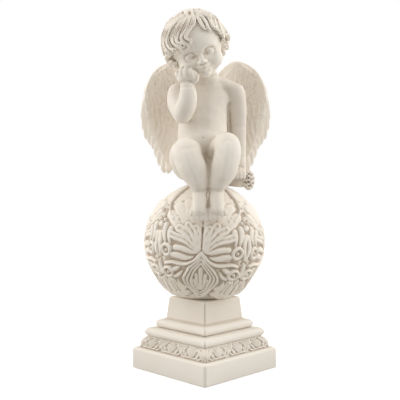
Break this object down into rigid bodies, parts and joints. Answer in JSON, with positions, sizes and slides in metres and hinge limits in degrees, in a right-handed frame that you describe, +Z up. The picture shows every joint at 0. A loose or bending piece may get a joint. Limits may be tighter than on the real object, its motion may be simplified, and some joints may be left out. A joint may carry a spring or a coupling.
{
  "type": "garden cherub statue on globe and plinth",
  "caption": "Winged child seated on an ornamented globe, chin on hand, above a square stepped plinth with a carved leaf band.",
  "frame": {"origin": "centre of the plinth's underside", "axes": "+Z up; the cherub faces -Y; +X is to the right of someone facing it; the plinth's corners point along X and Y"},
  "size_m": [0.2444, 0.2444, 0.6074],
  "materials": {
    "cherub_stone": "matte ivory cast stone",
    "plinth_stone": "matte ivory cast stone"
  },
  "bodies": {
    "root": {"cherub_on_globe": "cherub_stone", "plinth": "plinth_stone"}
  },
  "joints": []
}
